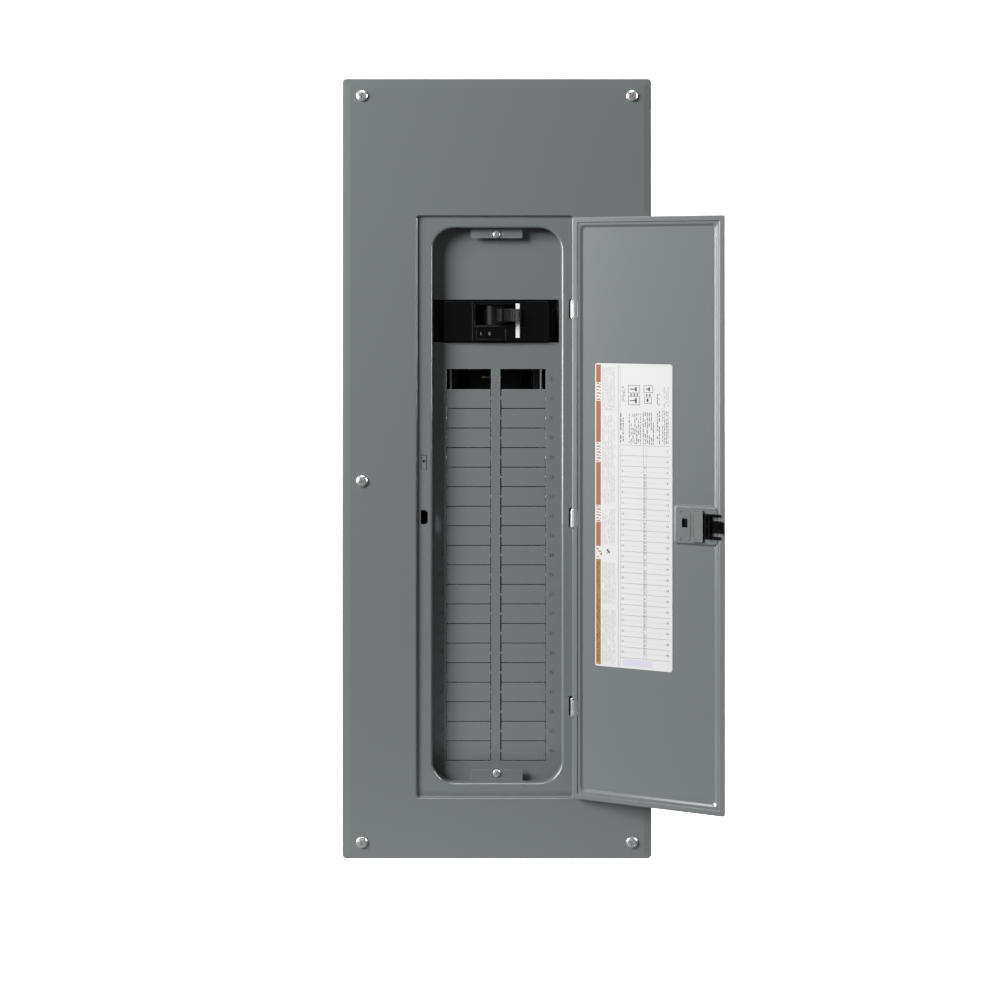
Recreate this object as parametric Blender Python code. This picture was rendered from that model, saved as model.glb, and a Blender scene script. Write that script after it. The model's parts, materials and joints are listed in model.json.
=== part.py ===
"""Residential load center: a flush breaker panel with its cover, door, latch and interior.

Every size below is in millimetres; `shape` and `pivot` turn them into Blender's metres.
Frame: the origin is on the wall plane, at the middle of the box's back face. +X is to the
right, +Z is up, and the front looks along -Y. The door stands open and the main is on.
The door and its latch are drawn closed, then swung open by their parent empty.
"""
import bpy
import bmesh
from math import cos, pi, radians, sin
from mathutils import Matrix

MM = 0.001
GAP = 0.3                    # clearance between neighbouring pieces
SHEET = 1.4                  # cover steel
THIN_SHEET = 1.2             # door and deadfront steel
CORNER_STEPS = 6             # facets in each rounded corner

# Driving dimensions of the whole panel
DEPTH = 95.25
FRONT = -DEPTH               # y of the cover's flat front
COVER_HALF = (198.25, 500.0)
BOX_HALF = (180.98, 486.0)
BOX_WALL = 1.5

# Recess that the closed door lies in, and the opening inside it: (x0, x1, z0, z1)
SEAT = (-102.2, 97.4, -421.0, 323.5)
SEAT_DEPTH = 5.0
OPENING = (-84.2, 84.2, -405.0, 310.5)
OPENING_RADIUS = 29.0
OPENING_WALL = 16.0          # how far the opening's drawn wall reaches behind the front
LOCK_KNOCKOUT = (-97.4, -90.0, -2.0, 17.5)

# Deadfront with its two columns of twistouts
DEADFRONT = (-90.0, 90.0, -411.0, 316.5)
DEADFRONT_FACE = -67.25
DEADFRONT_LIP = -80.0
PITCH = 25.4                 # height of one breaker space
ROWS = 20
ROWS_TOP = 127.0
ROW_INNER, ROW_OUTER = 6.5, 66.0
GROOVE = 0.6                 # depth and width of the twistouts' score lines
BREAKER_WINDOW = (-82.0, 82.0, 160.5, 216.5)

# Door, hinges and latch, drawn closed
DOOR = (-99.8, 95.3, -419.6, 322.1)
DOOR_FRONT = -98.45
RIM_FRONT, RIM_REAR = -95.45, -92.85
RIM_WIDTH = 8.5
DOOR_OPEN = 159.0
HINGE = (96.4, -98.0)        # x and y of the hinge axis
HINGE_HEIGHTS = {"top": 204.4, "middle": -63.0, "bottom": -304.6}
BARREL_RADIUS, BARREL_BORE, PIN_RADIUS = 2.3, 1.35, 1.05
BARREL_HALF, KNUCKLE_HALF = 10.5, 3.7
NOTCH_HALF = 12.5
LATCH_Z = -62.5
POCKET = (-90.0, -37.6, -85.0, -40.0)
POCKET_FLOOR = -94.3
PAD_WINDOW = (-80.0, -64.0, LATCH_Z - 12.5, LATCH_Z + 12.5)
DOOR_LEAF = (87.8, -94.55, -93.75, 9.5)     # left edge, front, rear and half height, in the rim's hem

# Main breaker
BREAKER_Z = 196.75           # middle of its handle
HANDLE_PIVOT = (-1.0, -50.0)
HANDLE_ON = 25.0             # the handle's lean to the right of straight out
CASE_FACE = -61.4

# Screws: radius of the shank, and radius and height of the head
COVER_SCREW = (3.0, 7.4, 4.2)
SMALL_SCREW = (2.0, 4.8, 2.6)
COVER_SCREWS = [(x, z) for z in (478.0, -15.4, -478.0) for x in (-173.0, 173.0)]
BRACKET_SCREWS = {"top": 300.8, "bottom": -394.6}
PAN_SCREWS = [(x, z) for z in (272.0, -395.0) for x in (-55.0, 55.0)]
BONDING_SCREW = (-117.0, -390.0)
WALL_SCREWS = [(x, z) for z in (400.0, -400.0) for x in (-115.0, 115.0)]

AXES = {
    "X": lambda a, b, c: (c, a, b),
    "Y": lambda a, b, c: (a, c, b),
    "Z": lambda a, b, c: (a, b, c),
}


# ---------------------------------------------------------------- shapes

def shape(vertices, faces):
    """A closed mesh from millimetre points, its faces turned outwards."""
    mesh = bpy.data.meshes.new("shape")
    mesh.from_pydata([tuple(MM * value for value in point) for point in vertices], [], faces)
    form = bmesh.new()
    form.from_mesh(mesh)
    bmesh.ops.recalc_face_normals(form, faces=form.faces)
    form.to_mesh(mesh)
    form.free()
    return mesh


def loft(sections, closed=False):
    """Skin equal loops of points; the ends are capped, or joined to each other when closed."""
    count, total = len(sections[0]), len(sections)
    faces = []
    for span in range(total if closed else total - 1):
        here, there = span * count, (span + 1) % total * count
        for i in range(count):
            j = (i + 1) % count
            faces.append((here + i, here + j, there + j, there + i))
    if not closed:
        faces.append(tuple(range(count)))
        faces.append(tuple(range((total - 1) * count, total * count)))
    return shape([point for section in sections for point in section], faces)


def prism(outline, axis, low, high):
    """An outline in the plane across an axis, extruded along it."""
    return loft([[AXES[axis](a, b, c) for a, b in outline] for c in (low, high)])


def block(x0, x1, y0, y1, z0, z1):
    return prism([(x0, y0), (x1, y0), (x1, y1), (x0, y1)], "Z", z0, z1)


def blocks(boxes):
    """Several separate blocks in one mesh, for use as one cutter."""
    form = bmesh.new()
    for box in boxes:
        form.from_mesh(block(*box))
    mesh = bpy.data.meshes.new("shape")
    form.to_mesh(mesh)
    form.free()
    return mesh


def circle(a, b, radius, sides):
    return [(a + radius * cos(2 * pi * i / sides), b + radius * sin(2 * pi * i / sides))
            for i in range(sides)]


def rod(axis, a, b, radius, low, high, sides=16):
    return prism(circle(a, b, radius, sides), axis, low, high)


def holes(places, radius, low, high, sides=16):
    """Separate rods along Y in one mesh, for use as one cutter."""
    form = bmesh.new()
    for x, z in places:
        form.from_mesh(rod("Y", x, z, radius, low, high, sides))
    mesh = bpy.data.meshes.new("shape")
    form.to_mesh(mesh)
    form.free()
    return mesh


def turned(axis, a, b, profile, sides=16):
    """A turned piece from (radius, height) pairs along an axis, capped at both ends."""
    return loft([[AXES[axis](p, q, height) for p, q in circle(a, b, radius, sides)]
                 for radius, height in profile])


def grown(bounds, amount):
    x0, x1, z0, z1 = bounds
    return (x0 - amount, x1 + amount, z0 - amount, z1 + amount)


def ring(bounds, radius, y):
    """A rounded rectangle in the plane of the front, as a list of points."""
    x0, x1, z0, z1 = bounds
    corners = ((x1 - radius, z1 - radius, 0), (x0 + radius, z1 - radius, 90),
               (x0 + radius, z0 + radius, 180), (x1 - radius, z0 + radius, 270))
    points = []
    for x, z, start in corners:
        for step in range(CORNER_STEPS + 1):
            turn = radians(start + 90 * step / CORNER_STEPS)
            points.append((x + radius * cos(turn), y, z + radius * sin(turn)))
    return points


def rings(bounds, radius, profile):
    """Rounded rectangles grown by each (amount, y) of a section, with corners that follow."""
    return [ring(grown(bounds, amount), max(radius + amount, 0.6), y) for amount, y in profile]


# ---------------------------------------------------------------- objects

def finish(name, colour, roughness, metallic=0.0):
    material = bpy.data.materials.new(name)
    material.use_nodes = True
    shader = material.node_tree.nodes["Principled BSDF"]
    shader.inputs["Base Color"].default_value = (*colour, 1.0)
    shader.inputs["Roughness"].default_value = roughness
    shader.inputs["Metallic"].default_value = metallic
    material.diffuse_color = (*colour, 1.0)
    return material


def solid(name, material, body, join=(), cut=()):
    """One named piece: the body with shapes joined to it and cut from it, left as a plain mesh."""
    scene = bpy.context.scene.collection.objects
    item = bpy.data.objects.new(name, body)
    scene.link(item)
    tools = []
    for operation, shapes in (("UNION", join), ("DIFFERENCE", cut)):
        for mesh in shapes:
            tool = bpy.data.objects.new("tool", mesh)
            scene.link(tool)
            modifier = item.modifiers.new(operation.lower(), "BOOLEAN")
            modifier.operation = operation
            modifier.object = tool
            tools.append(tool)
    if tools:
        bpy.context.view_layer.update()
        evaluated = item.evaluated_get(bpy.context.evaluated_depsgraph_get())
        mesh = bpy.data.meshes.new_from_object(evaluated)
        item.modifiers.clear()
        item.data = mesh
        for tool in tools:
            bpy.data.objects.remove(tool)
    item.data.name = name
    item.data.materials.clear()
    item.data.materials.append(material)
    item.data.shade_smooth()
    item.data.set_sharp_from_angle(angle=radians(28))
    return item


def pivot(name, x, y, z):
    """An empty on a joint's axis. Pieces are drawn in place before it is turned."""
    empty = bpy.data.objects.new(name, None)
    empty.empty_display_size = 0.02
    empty.location = (MM * x, MM * y, MM * z)
    bpy.context.scene.collection.objects.link(empty)
    return empty


def hang(item, empty):
    """Parent a piece, drawn in place, to an empty that has not been turned yet."""
    item.parent = empty
    item.matrix_parent_inverse = Matrix.Translation(-empty.location)


def screw(name, material, x, z, seat, length, size, recess=True):
    """A pan-head screw whose head sits at y = seat, with a cross recess; its shank runs back."""
    shank, head, height = size
    profile = [(shank - 0.7, seat + length), (shank, seat + length - 1.2), (shank, seat),
               (head, seat), (head, seat - 0.3 * height), (0.86 * head, seat - 0.75 * height),
               (0.5 * head, seat - height)]
    body = turned("Y", x, z, profile)
    arm, half = 0.52 * head, 0.11 * head
    top, floor = seat - height - 1.0, seat - 0.45 * height
    cross = [block(x - arm, x + arm, top, floor, z - half, z + half),
             block(x - half, x + half, top, floor, z - arm, z + arm)]
    return solid(name, material, body, cut=cross if recess else ())


# ---------------------------------------------------------------- enclosure

def make_box(material):
    """The box: a drawn tray with a flange turned in around its front."""
    bounds = (-BOX_HALF[0], BOX_HALF[0], -BOX_HALF[1], BOX_HALF[1])
    front, wall = -93.5, BOX_WALL
    bend, flange = 3.2, 18.0
    section = [(-2.0, 0.0), (0.0, -2.0), (0.0, front + bend), (-1.0, front + 1.0),
               (-bend, front), (-flange, front), (-flange, front + wall),
               (-bend - 0.2, front + wall), (-wall, front + bend + 0.2),
               (-wall, -3.5), (-wall - 1.5, -wall)]
    cutters = [holes(COVER_SCREWS, COVER_SCREW[0] + GAP, front - 5, front + 5),
               holes(WALL_SCREWS, 4.0, -5.0, 5.0),
               holes([BONDING_SCREW], SMALL_SCREW[0] + GAP, -5.0, 5.0)]
    solid("enclosure_box", material, loft(rings(bounds, 4.0, section)), cut=cutters)


def make_cover(material):
    """The cover: one sheet with a raised field, the door's seat and a deep-drawn opening."""
    outer = (-COVER_HALF[0], COVER_HALF[0], -COVER_HALF[1], COVER_HALF[1])
    sheet, edge = SHEET, 4.2
    floor, wall = FRONT + SEAT_DEPTH, FRONT + OPENING_WALL
    bevel = [(0.0, FRONT + edge), (0.0, FRONT + 2.6), (-1.2, FRONT + 1.9), (-11.0, FRONT)]
    bevel_back = [(-11.0, FRONT + sheet), (-2.0, FRONT + 1.9 + sheet), (-sheet, FRONT + edge)]
    drawn = [(4.0, floor), (1.2, floor + 1.2), (0.0, floor + 4.0), (0.0, wall)]
    drawn_back = [(sheet, wall), (sheet, floor + 4.3), (2.2, floor + 2.3), (4.2, floor + sheet)]
    sections = (rings(outer, 6.0, bevel)
                + rings(SEAT, 3.0, [(1.0, FRONT), (0.0, floor)])
                + rings(OPENING, OPENING_RADIUS, drawn + drawn_back)
                + rings(SEAT, 3.0, [(sheet, floor + sheet), (1.0 + sheet, FRONT + sheet)])
                + rings(outer, 6.0, bevel_back))
    front, rear = FRONT - 5.0, wall + 5.0
    strike = block(-97.7, -89.3, front, rear, LATCH_Z - 8.4, LATCH_Z + 8.4)
    notches = [block(92.5, 101.0, front, FRONT + 10.0, z - NOTCH_HALF, z + NOTCH_HALF)
               for z in HINGE_HEIGHTS.values()]
    left, right, low, high = LOCK_KNOCKOUT
    scored, line = floor + sheet / 2, 0.6
    lock = [block(left, left + line, front, scored, low, high),
            block(right - line, right, front, scored, low, high),
            block(left, right, front, scored, high - line, high)]
    solid("cover", material, loft(sections, closed=True),
          cut=[holes(COVER_SCREWS, COVER_SCREW[0] + 0.6, front, rear), strike, *notches, *lock])


def make_deadfront(material):
    """The deadfront: a shallow tray with a window for the main and two columns of twistouts."""
    face, lip, sheet = DEADFRONT_FACE, DEADFRONT_LIP, THIN_SHEET
    section = [(-sheet - 1.0, face), (-sheet, face - 1.0), (-sheet, lip), (0.0, lip),
               (0.0, face + 0.2), (-1.0, face + sheet)]
    front, rear = lip - 5.0, face + 5.0
    x0, x1, z0, z1 = BREAKER_WINDOW
    open_rows = [block(x, x + ROW_OUTER - ROW_INNER, front, rear, ROWS_TOP - PITCH + 0.6, ROWS_TOP)
                 for x in (-ROW_OUTER, ROW_INNER)]
    half, score = GROOVE / 2, face + GROOVE
    bottom = ROWS_TOP - ROWS * PITCH
    across = blocks([(side, side + ROW_OUTER - ROW_INNER, front, score, z - half, z + half)
                     for side in (-ROW_OUTER, ROW_INNER)
                     for z in [ROWS_TOP - row * PITCH for row in range(2, ROWS + 1)]])
    along = blocks([(x - half, x + half, front, score, bottom - half, ROWS_TOP - PITCH)
                    for x in (-ROW_OUTER, -ROW_INNER, ROW_INNER, ROW_OUTER)])
    screw_holes = holes([(0.0, z) for z in BRACKET_SCREWS.values()], SMALL_SCREW[0] + 0.5, front, rear)
    solid("deadfront", material, loft(rings(DEADFRONT, 6.0, section)),
          cut=[block(x0, x1, front, rear, z0, z1), *open_rows, across, along, screw_holes])


def make_brackets(material, zinc):
    """Two angle brackets that hold the deadfront to the opening's wall, and their screws."""
    front, thin = FRONT + 9.6, 1.5
    inner, plate = FRONT + 18.0, FRONT + 16.6
    middle = (OPENING[2] + OPENING[3]) / 2
    for name, z in BRACKET_SCREWS.items():
        up = 1.0 if name == "top" else -1.0
        wall = middle + up * (OPENING[3] - middle + SHEET + GAP)
        edge = z - up * 4.8
        outline = [(front, wall), (front, wall + up * thin), (inner, wall + up * thin), (inner, edge),
                   (plate, edge), (plate, wall)]
        hole = rod("Y", 0.0, z, SMALL_SCREW[0] + 0.5, front, inner + 5.0)
        solid(f"deadfront_bracket_{name}", material, prism(outline, "X", -33.4, 33.4), cut=[hole])
        screw(f"deadfront_screw_{name}", zinc, 0.0, z, plate - GAP, 19.0, SMALL_SCREW)


# ---------------------------------------------------------------- door

def make_door(material, paper, hinge):
    """The door: a raised panel in a hemmed rim, with a pocket for the latch."""
    panel_rear = DOOR_FRONT + THIN_SHEET
    step = 2.5
    front_panel = -RIM_WIDTH - step
    section = [(front_panel, DOOR_FRONT), (-RIM_WIDTH, RIM_FRONT), (-0.6, RIM_FRONT), (0.0, RIM_FRONT + 0.6),
               (0.0, RIM_REAR - 0.6), (-0.6, RIM_REAR), (0.6 - RIM_WIDTH, RIM_REAR),
               (front_panel - 0.56, panel_rear)]
    x0, x1, z0, z1 = POCKET
    thin = THIN_SHEET
    pocket = block(x0, x1, DOOR_FRONT + 0.5, POCKET_FLOOR + thin, z0, z1)
    recess = block(x0 + thin, x1 - thin, DOOR_FRONT - 5, POCKET_FLOOR, z0 + thin, z1 - thin)
    front, rear = DOOR_FRONT - 5, RIM_REAR + 5
    key_slot = block(-53.3, -46.3, front, rear, LATCH_Z - 3.0, LATCH_Z + 8.3)
    pad_window = block(*PAD_WINDOW[:2], front, rear, *PAD_WINDOW[2:])
    leaf_left, leaf_front, leaf_rear, leaf_half = DOOR_LEAF
    notches = [block(93.0, 99.0, front, rear, z - NOTCH_HALF, z + NOTCH_HALF)
               for z in HINGE_HEIGHTS.values()]
    pockets = [block(leaf_left - GAP, 94.0, leaf_front - GAP, leaf_rear + GAP, z - leaf_half - GAP,
                     z + leaf_half + GAP) for z in HINGE_HEIGHTS.values()]
    hang(solid("door_panel", material, loft(rings(DOOR, 3.0, section)), join=[pocket],
               cut=[recess, key_slot, pad_window, *notches, *pockets]), hinge)
    label = rings((-33.6, 66.0, -248.0, 136.5), 3.0, [(0.0, panel_rear + GAP), (0.0, panel_rear + 2 * GAP)])
    hang(solid("directory_label", paper, loft(label)), hinge)


def make_hinges(zinc, hinge):
    """Three butt hinges: a leaf behind the cover, a leaf in the door's hem, and a pin."""
    x, y = HINGE
    inner = BARREL_RADIUS - 1.4
    left, front, rear, leaf_half = DOOR_LEAF
    foot_front, foot_rear = -93.45, -92.25
    for name, z in HINGE_HEIGHTS.items():
        ends = [(z + KNUCKLE_HALF + GAP, z + BARREL_HALF), (z - BARREL_HALF, z - KNUCKLE_HALF - GAP)]
        bore = rod("Z", x, y, BARREL_BORE, z - 20, z + 20, 12)
        cover_leaf = block(x + inner, x + 17.0, foot_front, foot_rear, z - BARREL_HALF, z + BARREL_HALF)
        arms = [block(x + inner, x + BARREL_RADIUS, y, foot_rear - 0.4, *end) for end in ends]
        knuckles = [rod("Z", x, y, BARREL_RADIUS, *end) for end in ends]
        solid(f"hinge_leaf_cover_{name}", zinc, cover_leaf, join=arms + knuckles, cut=[bore])
        plate = block(left, x - inner, front, rear, z - leaf_half, z + leaf_half)
        arm = block(x - BARREL_RADIUS, x - inner, y, rear - 0.2, z - KNUCKLE_HALF, z + KNUCKLE_HALF)
        knuckle = rod("Z", x, y, BARREL_RADIUS, z - KNUCKLE_HALF, z + KNUCKLE_HALF)
        hang(solid(f"hinge_leaf_door_{name}", zinc, plate, join=[arm, knuckle], cut=[bore]), hinge)
        half = BARREL_HALF + GAP
        profile = [(0.9, z - half - 1.1), (1.9, z - half - 0.6), (1.9, z - half), (PIN_RADIUS, z - half),
                   (PIN_RADIUS, z + half), (1.9, z + half), (1.9, z + half + 0.6), (0.9, z + half + 1.1)]
        solid(f"hinge_pin_{name}", zinc, turned("Z", x, y, profile, 12))


def make_latch(black, grey, steel, hinge, travel):
    """The slide latch: a sliding hook with a thumb pad, its bezel, keeper and return spring."""
    z = LATCH_Z
    front, rear = -92.5, -90.7
    plate = block(-84.0, -57.7, front, rear, z - 15.5, z + 15.5)
    tongue = block(-96.0, -83.0, front, rear, z - 7.3, z + 7.3)
    prongs = [block(-95.0, -83.0, front, rear, *span)
              for span in ((z + 12.0, z + 15.5), (z - 15.5, z - 12.0))]
    hook = prism([(-95.2, front + 0.5), (-95.2, -88.4), (-99.3, -88.4), (-99.3, -88.0), (-95.8, -86.4),
                  (-92.6, -86.4), (-92.6, front + 0.5)], "Z", z - 6.5, z + 6.5)
    pad = block(-78.5, -69.5, -97.6, front + 0.5, z - 11.5, z + 11.5)
    ridge = block(-82.5, -76.5, rear - 0.5, -87.0, z - 14.5, z + 14.5)
    window = block(-69.0, -59.7, -96.0, -85.0, z - 3.5, z + 3.5)
    hang(solid("latch_slide", black, plate, join=[tongue, *prongs, hook, pad, ridge], cut=[window]), travel)

    bridge = block(-73.0, -58.5, rear + GAP, rear + 1.5, z - 19.7, z + 19.7)
    feet = [block(-73.0, -58.5, POCKET_FLOOR + THIN_SHEET + GAP, rear + 0.6, *span)
            for span in ((z - 19.7, z - 16.2), (z + 16.2, z + 19.7))]
    peg = block(-61.5, -60.3, front + 0.2, rear + 0.6, z - 2.5, z + 2.5)
    hang(solid("latch_housing", grey, bridge, join=[*feet, peg]), hinge)

    x0, x1, z0, z1 = grown(POCKET, -THIN_SHEET - 0.5)
    face = DOOR_FRONT + 0.15
    legs = [block(x0, x1, face + 0.5, POCKET_FLOOR - GAP, *span) for span in ((z0, z0 + 1.5), (z1 - 1.5, z1))]
    hang(solid("latch_bezel", black, block(x0, x1, face, face + 1.4, z0, z1), join=legs,
               cut=[block(*PAD_WINDOW[:2], face - 5, face + 5, *PAD_WINDOW[2:])]), hinge)

    turns, steps, coil, wire = 6, 10, 0.75, 0.22
    start, end, axis_y = -68.4, -61.9, -91.75
    sections = []
    for i in range(turns * steps + 1):
        turn = 2 * pi * i / steps
        along = start + (end - start) * i / (turns * steps)
        sections.append([(along + wire * sin(b), axis_y + (coil + wire * cos(b)) * cos(turn),
                          z + (coil + wire * cos(b)) * sin(turn)) for b in (0, pi / 2, pi, 3 * pi / 2)])
    hang(solid("latch_spring", steel, loft(sections)), hinge)


# ---------------------------------------------------------------- main breaker

def make_main_breaker(black, glossy, white, steel, toggle):
    x, y = HANDLE_PIVOT
    z = BREAKER_Z
    case = block(-74.0, 74.0, CASE_FACE, -15.0, 150.0, 228.0)
    shelf = block(-60.0, 60.0, -22.5, -15.0, 226.0, 262.0)
    pocket = block(-30.0, 28.0, CASE_FACE - 5, -29.0, z - 13.25, z + 13.25)
    bore = rod("Z", x, y, 2.2, z - 18.75, z + 18.25, 12)
    sockets = [block(side - 8.5, side + 8.5, -20.8, -14.0, 145.0, 158.0) for side in (-23.0, 23.0)]
    solid("main_breaker_case", black, case, join=[shelf], cut=[pocket, bore, *sockets])

    front = block(-68.0, 68.0, -75.0, CASE_FACE - GAP, z - 34.25, z + 17.75)
    slot = block(-27.0, 24.5, -80.0, -60.0, z - 13.25, z + 13.25)
    lowered = [block(*span, -80.0, -73.8, z - 40.0, z + 25.0) for span in ((-70.0, -31.0), (31.5, 70.0))]
    solid("main_breaker_front", glossy, front, cut=[slot, *lowered])
    solid("handle_indicator_strip", white, block(25.0, 30.0, -75.6, -75.3, z - 29.45, z + 14.95))

    drum = rod("Z", x, y, 18.5, z - 12.75, z + 12.25, 32)
    neck = block(x - 6.0, x + 6.0, y - 38.0, y - 12.0, z - 8.25, z + 8.25)
    head = prism([(x - 12.5, y - 37.0), (x - 11.0, y - 43.0), (x + 13.5, y - 43.0), (x + 15.0, y - 37.0)],
                 "Z", z - 7.9, z + 7.9)
    bore_through = rod("Z", x, y, 2.2, z - 20, z + 20, 12)
    hang(solid("main_breaker_handle", black, drum, join=[neck, head], cut=[bore_through]), toggle)
    solid("main_handle_pin", steel, rod("Z", x, y, 1.9, z - 18.25, z + 17.75, 12))


def make_line_lugs(aluminium, steel):
    """The two line lugs above the main, each with its wire hole and set screw."""
    low, high = 228.3, 258.0
    for name, side in (("left", -33.0), ("right", 33.0)):
        lug = block(side - 13.0, side + 13.0, -52.5, -22.8, low, high)
        wire = rod("Z", side, -36.0, 8.0, low - 5, high + 5)
        middle = (low + high) / 2
        thread = rod("Y", side, middle, 5.3, -60.0, -36.0)
        solid(f"line_lug_{name}", aluminium, lug, cut=[wire, thread])
        socket = rod("Y", side, middle, 2.4, -60.0, -50.5, 6)
        solid(f"line_lug_screw_{name}", steel, rod("Y", side, middle, 5.0, -56.0, -45.5), cut=[socket])


# ---------------------------------------------------------------- interior

def make_pan(steel, zinc):
    """The interior's mounting pan, a channel on the back of the box, and its four screws."""
    half, thick, base = 62.0, 1.5, -13.5
    foot = -BOX_WALL - GAP
    outline = [(-half, foot), (-half, base), (half, base), (half, foot), (half - thick, foot),
               (half - thick, base + thick), (thick - half, base + thick), (thick - half, foot)]
    solid("interior_pan", steel, prism(outline, "Z", -402.0, 280.0),
          cut=[holes(PAN_SCREWS, SMALL_SCREW[0] + 0.5, base - 5, base + 5)])
    for number, (x, z) in enumerate(PAN_SCREWS, 1):
        screw(f"pan_screw_{number}", zinc, x, z, base - GAP, 10.0, SMALL_SCREW)


def make_bus(plastic, copper):
    """Two bus bars between an insulator and its cover, their blades alternating down the middle."""
    solid("bus_insulator", plastic, block(-49.5, 49.5, -15.8, -13.8, -390.0, 136.0))
    slots = []
    for name, side, first in (("a", -1.0, 1), ("b", 1.0, 2)):
        low, high = sorted((side * 16.0, side * 30.0))
        bar = block(low, high, -18.8, -16.1, -385.0, 156.0)
        low, high = sorted((side * 17.0, side * -8.0))
        heights = [ROWS_TOP - (row - 0.5) * PITCH for row in range(first, ROWS + 1, 2)]
        blades = [block(low, high, -46.0, -17.5, z - 1.0, z + 1.0) for z in heights]
        slots.append(blocks([(low - 0.4, high + 0.4, -30.0, -18.0, z - 1.4, z + 1.4) for z in heights]))
        solid(f"bus_bar_{name}", copper, bar, join=blades)
    solid("bus_cover", plastic, block(-34.0, 34.0, -28.0, -19.1, -390.0, 136.0), cut=slots)


def make_neutral(plastic, aluminium, steel):
    """Neutral rails and bars on each side, joined by a strap, with the neutral lug."""
    foot_front, foot_rear = -42.0, -40.5
    for name, side in (("left", -1.0), ("right", 1.0)):
        def across(a, b):
            return sorted((side * a, side * b))
        top = 149.0 if name == "left" else 130.0
        support = block(*across(50.0, 75.0), foot_rear + GAP, -13.8, -386.0, 134.0)
        solid(f"neutral_support_{name}", plastic, support)
        strip = block(*across(58.0, 60.0), -60.0, foot_rear, -400.0, 130.0)
        foot = block(*across(58.5, 88.0), foot_front, foot_rear, -400.0, top)
        notch = block(*across(60.5, 72.0), foot_front - 5, foot_rear + 5, 95.0, 134.0)
        solid(f"plug_on_neutral_rail_{name}", aluminium, foot, join=[strip], cut=[notch])
        bar = block(*across(77.0, 88.0), -53.0, foot_front - GAP, -380.0, 120.0)
        solid(f"neutral_bar_{name}", aluminium, bar)
    solid("neutral_strap", aluminium, block(-88.0, 88.0, foot_rear + GAP, -38.7, -400.0, -388.0))
    lug = block(-90.0, -72.0, -60.0, foot_front - GAP, 123.0, 148.0)
    wire = rod("Z", -81.0, -50.5, 5.5, 118.0, 153.0)
    thread = rod("Y", -81.0, 135.5, 4.3, -65.0, -50.5)
    solid("neutral_lug", aluminium, lug, cut=[wire, thread])
    socket = rod("Y", -81.0, 135.5, 2.0, -66.0, -60.0, 6)
    solid("neutral_lug_screw", steel, rod("Y", -81.0, 135.5, 4.0, -63.0, -56.0), cut=[socket])


def make_ground(aluminium, steel, green):
    """The ground bar on its two feet, and the strap that bonds the neutral to the box."""
    foot = -BOX_WALL - GAP
    feet = [block(129.0, 137.0, -7.0, foot, z - 6.0, z + 6.0) for z in (-170.0, -310.0)]
    solid("ground_bar", aluminium, block(128.0, 138.0, -14.0, -6.0, -330.0, -150.0), join=feet)
    x, z = BONDING_SCREW
    outline = [(-88.3, -42.0), (-88.3, -40.8), (-102.8, -40.8), (-102.8, foot), (x - 9.0, foot),
               (x - 9.0, foot - 1.2), (-104.0, foot - 1.2), (-104.0, -42.0)]
    solid("bonding_strap", steel, prism(outline, "Z", z - 6.0, z + 6.0),
          cut=[rod("Y", x, z, SMALL_SCREW[0] + GAP, -8.0, 2.0)])
    screw("bonding_screw", green, x, z, foot - 1.2 - GAP, 3.0, SMALL_SCREW)


def build():
    for item in list(bpy.data.objects):
        bpy.data.objects.remove(item, do_unlink=True)

    paint = finish("grey_paint", (0.162, 0.178, 0.180), 0.42)
    zinc = finish("bright_zinc", (0.70, 0.71, 0.72), 0.25, 1.0)
    steel = finish("plain_steel", (0.45, 0.46, 0.47), 0.35, 1.0)
    aluminium = finish("aluminium", (0.78, 0.78, 0.80), 0.30, 1.0)
    copper = finish("plated_copper", (0.66, 0.60, 0.52), 0.30, 1.0)
    black = finish("black_plastic", (0.012, 0.012, 0.013), 0.35)
    glossy = finish("glossy_black_plastic", (0.008, 0.008, 0.009), 0.15)
    grey = finish("grey_plastic", (0.150, 0.160, 0.160), 0.45)
    white = finish("white_plastic", (0.85, 0.85, 0.84), 0.40)
    paper = finish("label_paper", (0.80, 0.80, 0.79), 0.60)
    green = finish("green_screw", (0.05, 0.30, 0.10), 0.40, 0.6)

    hinge = pivot("door_hinge_axis", HINGE[0], HINGE[1], 0.0)
    travel = pivot("latch_travel", -71.0, -91.6, LATCH_Z)
    hang(travel, hinge)
    toggle = pivot("main_handle_axis", HANDLE_PIVOT[0], HANDLE_PIVOT[1], BREAKER_Z)

    make_box(paint)
    make_cover(paint)
    for number, (x, z) in enumerate(COVER_SCREWS, 1):
        screw(f"cover_screw_{number}", zinc, x, z, FRONT - GAP, 12.3, COVER_SCREW)
    make_deadfront(paint)
    make_brackets(paint, zinc)
    make_door(paint, paper, hinge)
    make_hinges(zinc, hinge)
    make_latch(black, grey, steel, hinge, travel)
    make_main_breaker(black, glossy, white, steel, toggle)
    make_line_lugs(aluminium, steel)
    make_pan(steel, zinc)
    make_bus(black, copper)
    make_neutral(black, aluminium, steel)
    make_ground(aluminium, steel, green)

    hinge.rotation_euler.z = radians(DOOR_OPEN)
    toggle.rotation_euler.z = radians(HANDLE_ON)
    bpy.context.view_layer.update()


build()
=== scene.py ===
"""Looks of the residential load center: fine meshes, materials, light and camera.

Sections and sizes are in millimetres, and `piece` turns them into metres. The door with its latch is
drawn closed, and the main's handle upright; SWING and TOGGLE then turn them to where the frame has them.
"""

import json
from math import ceil, cos, degrees, pi, radians, sin, tan
from random import Random

import bmesh
import bpy
from mathutils import Matrix, Vector

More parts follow.
